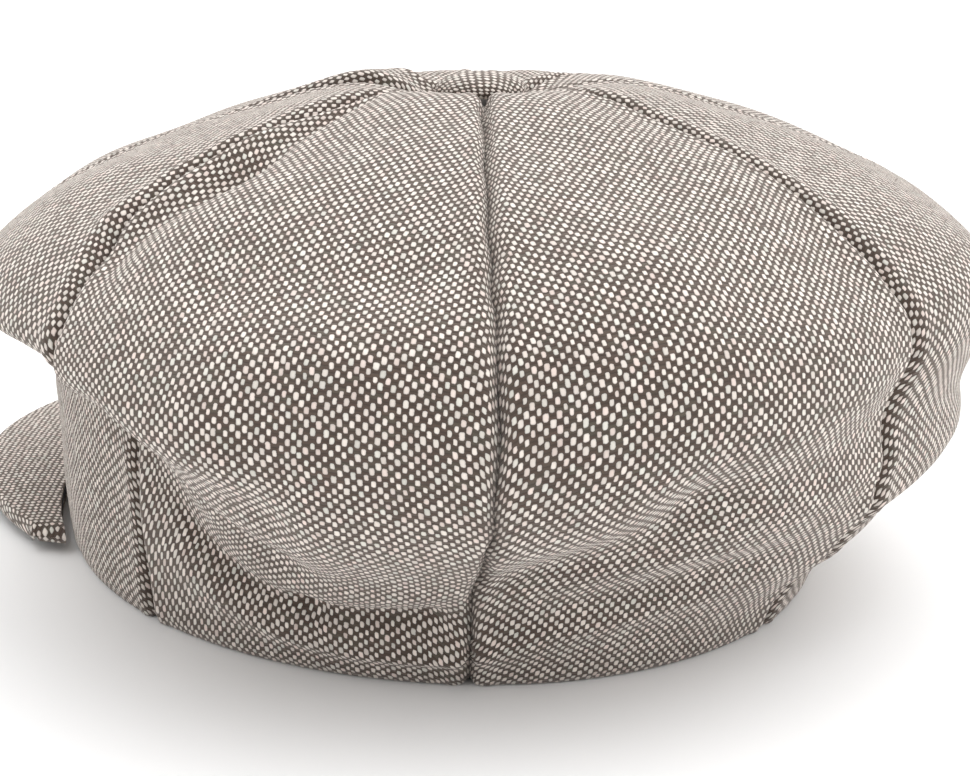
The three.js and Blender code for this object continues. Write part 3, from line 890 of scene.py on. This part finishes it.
# ------------------------------------------------------------------ brim
BRIM_HALF_ANGLE = math.radians(62)
BRIM_FAN = 0.5                   # how much the brim spreads, as a share of the rim's turn
BRIM_CORNER = 8                  # length at its ends
BRIM_TAPER = 2.6
BRIM_ROOT_GAP = 2.4
BRIM_SIDE_Z = 4.2                # height of the board's middle at its ends
BRIM_ARCH = 4                    # and how much higher it is in front, at the root
BRIM_DROOP = 0.8
BRIM_FULLNESS = 0.25
BRIM_INNER = 1.2                 # from the middle of the board to the inside of the cloth
BRIM_OUTER = 2.3
BRIM_OVERLAP = 1.03              # the cloth runs this much past the board's ends
BRIM_TURN_STEPS = 8              # round the turned edge
BRIM_ROWS = 40
BRIM_COLUMNS = 150

BRIM_TIP_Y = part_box("brim_board")[0].y / MM - AXIS_Y
BRIM_LENGTH = RIM_CENTRE_Y - RIM_HALF_LENGTH - BRIM_ROOT_GAP - BRIM_TIP_Y


def brim_point(s, out, lift):
    """A point s along the root (-1 to 1), out from it, and lift above the board's middle."""
    turn = BRIM_HALF_ANGLE * s
    spread = turn * BRIM_FAN
    arch = BRIM_ARCH * (1 - s * s) * (1 - BRIM_DROOP * out / BRIM_LENGTH)
    return np.stack(np.broadcast_arrays(
        (RIM_HALF_WIDTH + BRIM_ROOT_GAP) * np.sin(turn) + out * np.sin(spread),
        RIM_CENTRE_Y - (RIM_HALF_LENGTH + BRIM_ROOT_GAP) * np.cos(turn) - out * np.cos(spread),
        BRIM_SIDE_Z + arch + lift,
    ), -1)


def brim_length(s):
    share = 1 - np.minimum(np.abs(s), 1) ** BRIM_TAPER
    return BRIM_CORNER + (BRIM_LENGTH - BRIM_CORNER) * share


def brim_puff(s, share):
    """The cloth is a little full between the edge and the root."""
    full = np.sin(np.pi * np.clip(share, 0, 1)) * (1 + 0.8 * np.sin(9 * s + 3 * share))
    return BRIM_FULLNESS * full


def brim_sheet(name, node, path):
    """A cloth of the brim, from the root outwards.

    path is a list of share of the length, extra reach, lift of the outside and of the
    inside, and extra reach of the inside.
    """
    s = np.linspace(-BRIM_OVERLAP, BRIM_OVERLAP, BRIM_COLUMNS + 1)[None, :]
    beyond = np.clip((np.abs(s) - 1) / (BRIM_OVERLAP - 1), 0, 1)
    thin = np.sqrt(1.0001 - beyond ** 2)
    share, extra, front_lift, back_lift, back_extra = (
        column[:, None] for column in np.array(path, float).T
    )
    length = brim_length(s)
    sign = np.sign(front_lift)
    puff = brim_puff(s, share) * (np.abs(front_lift) >= BRIM_OUTER - 0.01)
    front = brim_point(s, share * length + extra, (front_lift + sign * puff) * thin)
    back = brim_point(s, share * length + back_extra, (back_lift + sign * puff) * thin)
    round_edge = BRIM_OUTER - np.abs(front_lift[0]) + np.abs(front_lift - front_lift[0])
    spread = BRIM_HALF_ANGLE * s * BRIM_FAN
    flat = (
        front[..., 0] + round_edge * np.sin(spread), -front[..., 1] + round_edge * np.cos(spread),
    )
    piece = sheet_object(name, front, back, flat, TWEED, (11.0, 5.0))
    finish_piece(piece, "brim", "tweed", node)


def make_brim():
    rows = np.linspace(0, 1, BRIM_ROWS + 1)
    upper = [(v, v * 0.1, BRIM_OUTER, BRIM_INNER, v * 0.1) for v in rows]
    for k in range(1, BRIM_TURN_STEPS + 1):
        a = k / BRIM_TURN_STEPS * math.pi * 0.93
        upper.append((
            1, 0.1 + 1.4 * math.sin(a), BRIM_OUTER * math.cos(a),
            BRIM_INNER * math.cos(a), 0.1 + 0.35 * math.sin(a),
        ))
    brim_sheet("tweed_brim_upper", "brim_upper_cloth", upper)
    under = [(v, -1.1 * v, -BRIM_OUTER, -BRIM_INNER, -1.1 * v) for v in rows]
    under.append((1, -0.55, -BRIM_OUTER + 0.45, -BRIM_INNER, -0.75))
    brim_sheet("tweed_brim_under", "brim_under_cloth", under)


def dress_nodes():
    """The hidden hard parts stay as they are in the frame, with materials of their own."""
    for name, material in (("brim_board", BOARD), ("button_shell", METAL), ("button_rivet", METAL)):
        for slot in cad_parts[name].material_slots:
            slot.material = material


make_panels()
make_lining()
make_bands()
band_stitches("sweatband_stitches_low", BAND_BOTTOM + 4.0, SWEATBAND_DEPTH + 1.16)
band_stitches("sweatband_stitches_high", BAND_TOP - 3.0, SWEATBAND_DEPTH + 1.12)
make_label()
make_button()
make_brim()
dress_nodes()

# ------------------------------------------------------------------ camera, light and floor
CAMERA_TURN = 43.5               # degrees round the cap, from its left side towards its back
CAMERA_DISTANCE = 363 * MM
CAMERA_ELEVATION = math.radians(16.8)
LOOK_AT_Z = 36.6 * MM
LOOK_ASIDE = 0.8 * MM
SENSOR = 36.0                    # width of the camera's sensor
LENS = 54.5567                   # and its focal length, both in millimetres
HORIZON_LIGHT = 1.3
SKY_LIGHT = 1.5
HORIZON_BAND = (0.05, 0.35)      # heights, 1 being overhead, where one turns into the other
FRONT_LIGHT = 0.0                # a patch of the room in front of the cap is dark,
DIM_HEIGHT = math.radians(38)    # this high above the horizon,
DIM_RANGE = (0.70, 0.95)         # between these cosines of the angle from its middle
FLOOR_HALF = 30.0
FLOOR_DROP = 0.2 * MM            # the floor lies this much under the hem
SUN_LIGHT = 1.8
SUN_ANGLE = 80
SUN_FROM = (-0.25, 0.25, 1.0)


def make_camera():
    turn = math.radians(CAMERA_TURN)
    toward = Vector((math.cos(turn), math.sin(turn), 0))
    aside = Vector((-math.sin(turn), math.cos(turn), 0))
    back = toward * math.cos(CAMERA_ELEVATION) + Vector((0, 0, math.sin(CAMERA_ELEVATION)))
    target = Vector((0, AXIS_Y * MM, LOOK_AT_Z)) + aside * LOOK_ASIDE
    data = bpy.data.cameras.new("camera")
    data.sensor_width = SENSOR
    data.lens = LENS
    data.clip_start = 0.01
    camera = new_object("camera", data)
    camera.location = target + back * CAMERA_DISTANCE
    camera.rotation_mode = "QUATERNION"
    camera.rotation_quaternion = back.to_track_quat("Z", "Y")
    bpy.context.scene.camera = camera


def make_floor():
    mesh = bpy.data.meshes.new("floor")
    half = FLOOR_HALF
    mesh.from_pydata(
        [(-half, -half, 0), (half, -half, 0), (half, half, 0), (-half, half, 0)],
        [], [(0, 1, 2, 3)],
    )
    floor = new_object("floor", mesh)
    floor.location.z = -FLOOR_DROP
    s = Shader("floor")
    speck = s.noise(s.object_place(), 8.0)
    s.set(Base_Color=s.mix(speck, colour(0.90, 0.90, 0.90), colour(0.92, 0.92, 0.92)),
          Roughness=0.9, Specular_IOR_Level=0.1)
    mesh.materials.append(s.material)


def make_light():
    """An even white studio: bright low round the horizon, softer above, and a broad sun."""
    world = bpy.data.worlds.new("studio")
    bpy.context.scene.world = world
    world.use_nodes = True
    tree = world.node_tree
    place = tree.nodes.new("ShaderNodeTexCoord")
    split = tree.nodes.new("ShaderNodeSeparateXYZ")
    tree.links.new(place.outputs["Generated"], split.inputs[0])
    height = tree.nodes.new("ShaderNodeMapRange")
    height.interpolation_type = "SMOOTHSTEP"
    tree.links.new(split.outputs[2], height.inputs["Value"])
    height.inputs["From Min"].default_value = HORIZON_BAND[0]
    height.inputs["From Max"].default_value = HORIZON_BAND[1]
    height.inputs["To Min"].default_value = HORIZON_LIGHT
    height.inputs["To Max"].default_value = SKY_LIGHT
    light = tree.nodes["Background"]
    light.inputs["Color"].default_value = colour(1, 1, 1)
    front = tree.nodes.new("ShaderNodeVectorMath")
    front.operation = "DOT_PRODUCT"
    tree.links.new(place.outputs["Generated"], front.inputs[0])
    turn = math.radians(CAMERA_TURN)
    front.inputs[1].default_value = (
        math.cos(DIM_HEIGHT) * math.cos(turn), math.cos(DIM_HEIGHT) * math.sin(turn),
        math.sin(DIM_HEIGHT),
    )
    dimmer = tree.nodes.new("ShaderNodeMapRange")
    dimmer.interpolation_type = "SMOOTHSTEP"
    tree.links.new(front.outputs["Value"], dimmer.inputs["Value"])
    dimmer.inputs["From Min"].default_value = DIM_RANGE[0]
    dimmer.inputs["From Max"].default_value = DIM_RANGE[1]
    dimmer.inputs["To Min"].default_value = 1.0
    dimmer.inputs["To Max"].default_value = FRONT_LIGHT
    product = tree.nodes.new("ShaderNodeMath")
    product.operation = "MULTIPLY"
    tree.links.new(height.outputs[0], product.inputs[0])
    tree.links.new(dimmer.outputs[0], product.inputs[1])
    tree.links.new(product.outputs[0], light.inputs["Strength"])
    data = bpy.data.lights.new("sun", "SUN")
    data.energy = SUN_LIGHT
    data.angle = math.radians(SUN_ANGLE)
    sun = new_object("sun", data)
    sun.rotation_mode = "QUATERNION"
    sun.rotation_quaternion = Vector(SUN_FROM).to_track_quat("Z", "Y")
    bpy.context.scene.view_settings.view_transform = "Standard"


make_camera()
make_floor()
make_light()
